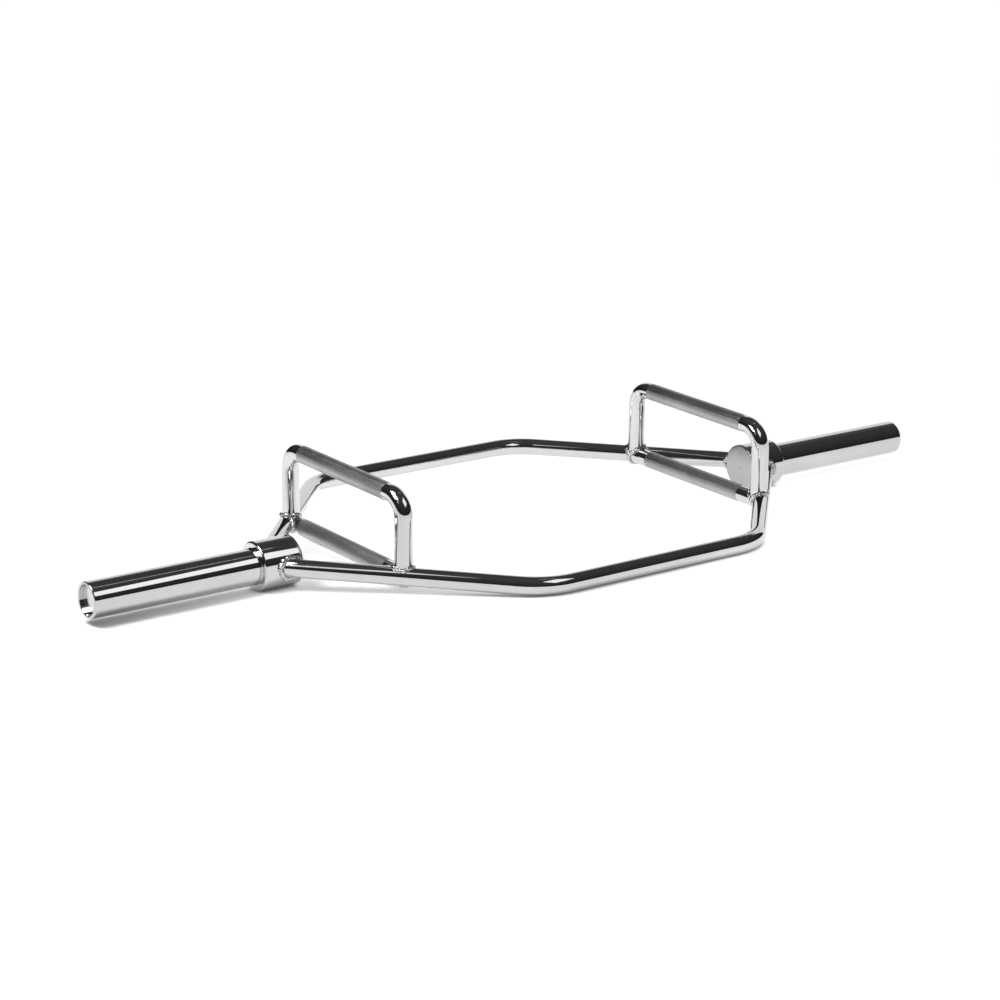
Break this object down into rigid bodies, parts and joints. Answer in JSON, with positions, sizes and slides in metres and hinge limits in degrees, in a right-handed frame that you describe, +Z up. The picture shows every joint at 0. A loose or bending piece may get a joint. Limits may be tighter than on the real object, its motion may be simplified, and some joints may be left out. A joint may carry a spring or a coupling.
{
  "type": "hex trap bar",
  "caption": "Welded hexagonal steel lifting frame with low and raised handles and a plate sleeve with a collar at each end.",
  "frame": {"origin": "under the middle of the bar, level with the lowest line of the collars, on which it lies", "axes": "+X along the plate sleeves towards the right end, +Y across the hexagon towards the rear rail, +Z up through the raised handles"},
  "size_m": [1.4, 0.6034, 0.1525],
  "materials": {
    "chrome": "polished plating",
    "chrome_grip": "plated, knurled along the grips",
    "chrome_weld": "plated weld bead"
  },
  "bodies": {
    "root": {"front_rail": "chrome", "rear_rail": "chrome", "left_sleeve": "chrome", "left_sleeve_plug": "chrome", "left_collar": "chrome", "left_collar_cap": "chrome", "left_low_handle": "chrome_grip", "left_high_handle": "chrome_grip", "left_front_collar_weld": "chrome_weld", "left_front_high_handle_weld": "chrome_weld", "left_front_low_handle_weld": "chrome_weld", "left_rear_collar_weld": "chrome_weld", "left_rear_high_handle_weld": "chrome_weld", "left_rear_low_handle_weld": "chrome_weld", "right_sleeve": "chrome", "right_sleeve_plug": "chrome", "right_collar": "chrome", "right_collar_cap": "chrome", "right_low_handle": "chrome_grip", "right_high_handle": "chrome_grip", "right_front_collar_weld": "chrome_weld", "right_front_high_handle_weld": "chrome_weld", "right_front_low_handle_weld": "chrome_weld", "right_rear_collar_weld": "chrome_weld", "right_rear_high_handle_weld": "chrome_weld", "right_rear_low_handle_weld": "chrome_weld"}
  },
  "joints": []
}
